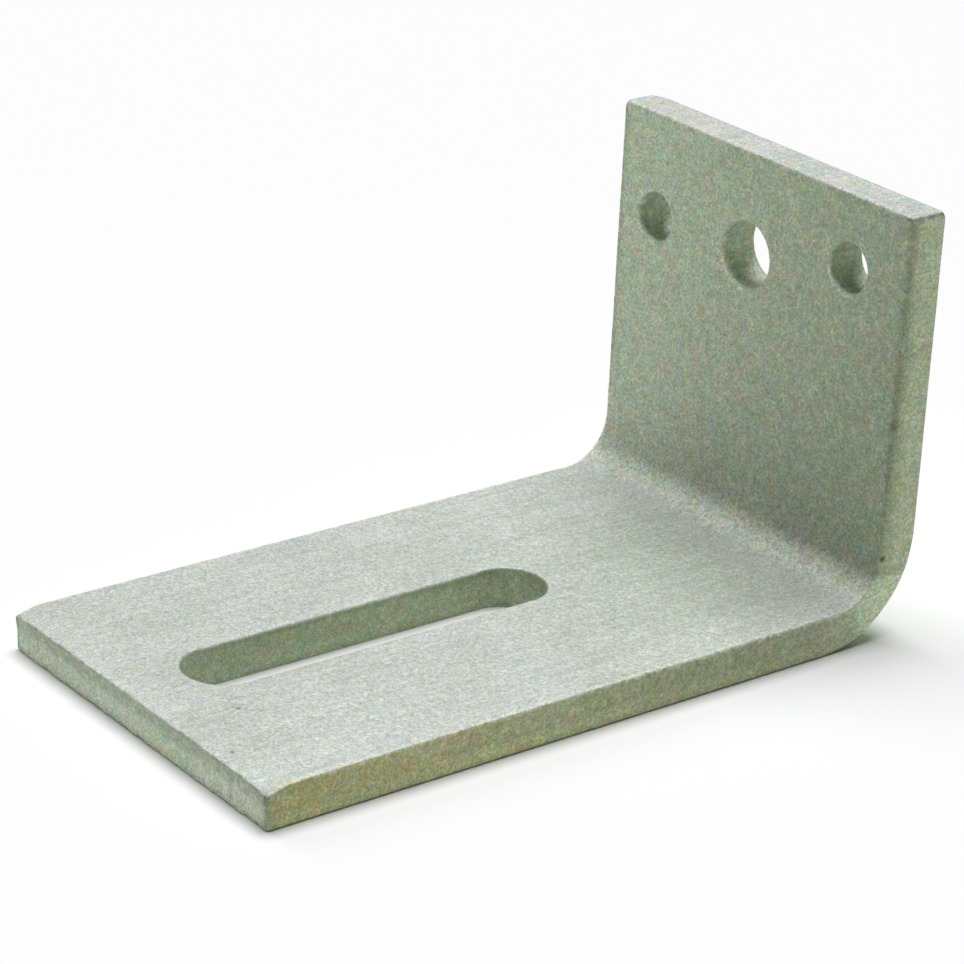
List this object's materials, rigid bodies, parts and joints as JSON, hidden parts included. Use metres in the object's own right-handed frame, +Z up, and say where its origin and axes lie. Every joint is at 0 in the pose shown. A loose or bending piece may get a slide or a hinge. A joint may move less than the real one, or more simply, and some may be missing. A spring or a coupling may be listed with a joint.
{
  "type": "heavy angle anchor",
  "caption": "Thick galvanised flat bar bent square into an L-shaped anchor: a long base leg with an adjusting slot and a shorter upright leg with a bolt hole between screw holes.",
  "frame": {"origin": "middle of the footprint, on the underside of the base", "axes": "+X from the free end of the base towards the upright, +Z up, so the picture's near side is -Y"},
  "size_m": [0.1424, 0.08, 0.082],
  "materials": {
    "galvanised_steel": "matte hot-dip zinc, rough and slightly mottled"
  },
  "bodies": {
    "root": {"angle_plate": "galvanised_steel"}
  },
  "joints": []
}
